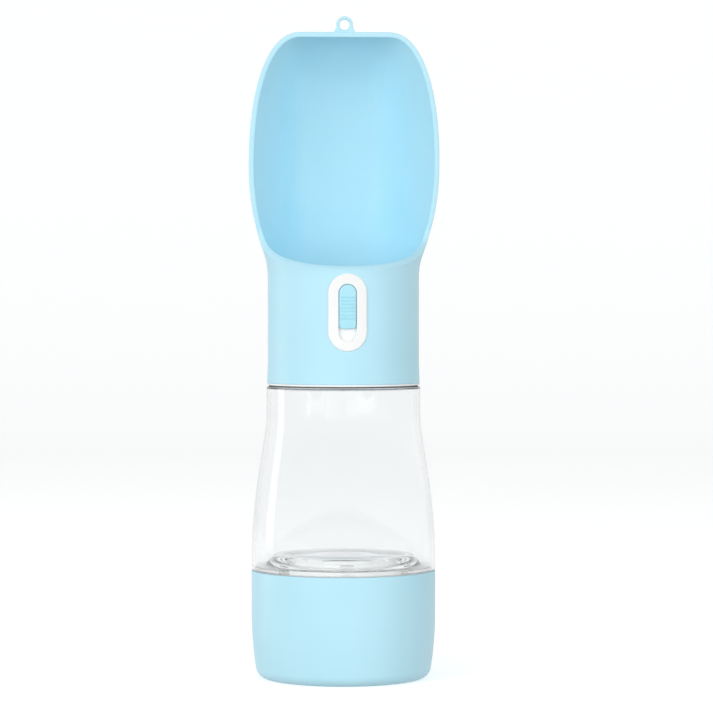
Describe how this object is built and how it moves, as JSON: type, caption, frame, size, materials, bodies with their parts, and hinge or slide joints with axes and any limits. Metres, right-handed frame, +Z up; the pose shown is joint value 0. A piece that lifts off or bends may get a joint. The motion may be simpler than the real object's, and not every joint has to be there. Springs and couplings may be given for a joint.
{
  "type": "dog travel water bottle",
  "caption": "Travel water bottle for dogs: a drinking scoop with a slide valve, a clear water tank and a twist-off food cup under it.",
  "frame": {"origin": "centre of the food cup's flat base", "axes": "+Z up through the hanging loop, -Y out of the scoop's open front and the slider, +X to the right seen from the front"},
  "size_m": [0.0774, 0.075, 0.2686],
  "materials": {
    "cup_plastic": "fine satin moulded ABS, pale blue",
    "head_plastic": "fine satin moulded ABS, pale blue",
    "slider_plastic": "satin moulded ABS, slightly deeper blue, ribbed",
    "white_plastic": "smooth moulded ABS, white",
    "natural_plastic": "natural polypropylene, milky",
    "clear_plastic": "polished clear plastic",
    "silicone": "translucent silicone rubber",
    "white_silicone": "opaque white silicone rubber",
    "nitrile": "dark nitrile rubber",
    "steel": "stainless steel"
  },
  "bodies": {
    "cup": {"food_cup": "cup_plastic", "cup_collar": "natural_plastic", "cup_seal": "silicone"},
    "tank": {"water_tank": "clear_plastic", "tank_floor": "clear_plastic"},
    "head_seals": {"head_seal": "white_silicone", "mouth_seal": "silicone"},
    "head": {"scoop_head": "head_plastic", "bezel": "white_plastic", "valve_housing": "white_plastic", "housing_screws": "steel", "screw_washers": "silicone", "return_spring": "steel"},
    "slider": {"slider_cap": "slider_plastic", "carriage": "white_plastic", "valve_spool": "white_plastic", "upper_o_ring": "nitrile", "lower_o_ring": "nitrile", "valve_plug": "silicone"}
  },
  "joints": [
    {"name": "tank_twist", "type": "hinge", "parent": "cup", "child": "tank", "pos_m": [0, 0, 0.0446], "axis": [0, 0, 1], "range_deg": [0, 30]},
    {"name": "head_lift", "type": "slide", "parent": "tank", "child": "head_seals", "axis": [0, 0, 1], "range_m": [0, 0.00321]},
    {"name": "head_turn", "type": "hinge", "parent": "head_seals", "child": "head", "pos_m": [0, 0, 0.119], "axis": [0, 0, 1], "range_deg": [0, 360]},
    {"name": "slider_push", "type": "slide", "parent": "head", "child": "slider", "axis": [0, 0, -1], "range_m": [0, 0.0032], "stiffness_N_per_m": 600, "springref_m": -0.002, "deforming": ["return_spring"]}
  ],
  "couplings": [
    {"joint": "head_lift", "follows": "head_turn", "m_per_rad": 0.0005093}
  ]
}
